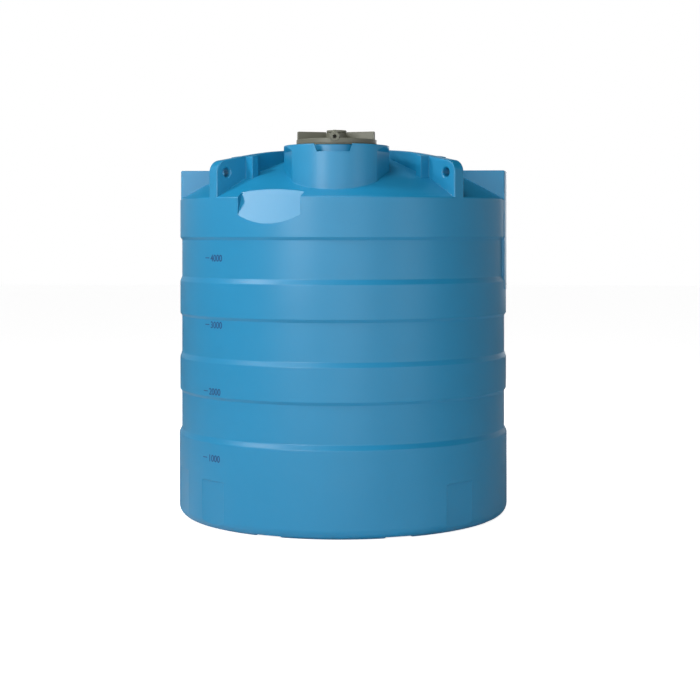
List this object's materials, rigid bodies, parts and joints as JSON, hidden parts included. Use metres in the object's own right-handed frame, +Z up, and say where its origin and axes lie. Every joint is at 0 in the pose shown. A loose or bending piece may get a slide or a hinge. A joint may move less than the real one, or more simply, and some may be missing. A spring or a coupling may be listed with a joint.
{
  "type": "vertical water storage tank",
  "caption": "Upright round rotomoulded water tank with banded wall, domed roof, lifting fins, an offset neck with a ribbed screw lid, and a low rear outlet with a ball valve.",
  "frame": {"origin": "centre of the tank's base, on the tank's axis", "axes": "+Z up along the tank's axis, -Y towards the side with the neck, +X to the right seen from the front"},
  "size_m": [1.908, 1.908, 2.182],
  "materials": {
    "tank_blue": "satin rotomoulded polyethylene",
    "lid_olive": "satin moulded plastic",
    "fitting_black": "moulded polypropylene",
    "rubber_black": "matt",
    "stainless": "brushed",
    "brass": "turned and cast",
    "ball_chrome": "polished",
    "seat_white": "smooth",
    "grip_red": "dipped vinyl"
  },
  "bodies": {
    "tank": {"tank_shell": "tank_blue", "neck_ring": "lid_olive", "neck_ring_gasket": "rubber_black", "neck_ring_screws": "stainless", "outlet_bulkhead": "fitting_black", "outlet_seal_inner": "rubber_black", "outlet_seal_outer": "rubber_black", "outlet_nut": "fitting_black", "valve_body": "brass", "valve_end_cap": "brass", "valve_end_seal": "seat_white", "valve_seats": "seat_white", "stem_seals": "rubber_black", "gland_nut": "brass"},
    "lid_seal": {"lid_gasket": "rubber_black"},
    "lid": {"screw_lid": "lid_olive", "vent_tube": "fitting_black", "vent_washer": "rubber_black", "vent_nut": "fitting_black", "vent_screen": "stainless", "vent_cap": "lid_olive"},
    "lever": {"valve_ball": "ball_chrome", "valve_stem": "brass", "valve_lever": "stainless", "lever_grip": "grip_red", "lever_nut": "stainless"}
  },
  "joints": [
    {"name": "lid_lift", "type": "slide", "parent": "tank", "child": "lid_seal", "axis": [0, 0, 1], "range_m": [0, 0.016]},
    {"name": "lid_turn", "type": "hinge", "parent": "lid_seal", "child": "lid", "pos_m": [0, -0.594, 2.12], "axis": [0, 0, 1], "range_deg": [0, 720]},
    {"name": "valve_turn", "type": "hinge", "parent": "tank", "child": "lever", "pos_m": [0.74388, 0.74388, 0.18], "axis": [0, 0, 1], "range_deg": [-90, 0]}
  ],
  "couplings": [
    {"joint": "lid_lift", "follows": "lid_turn", "m_per_rad": 0.0012732}
  ]
}
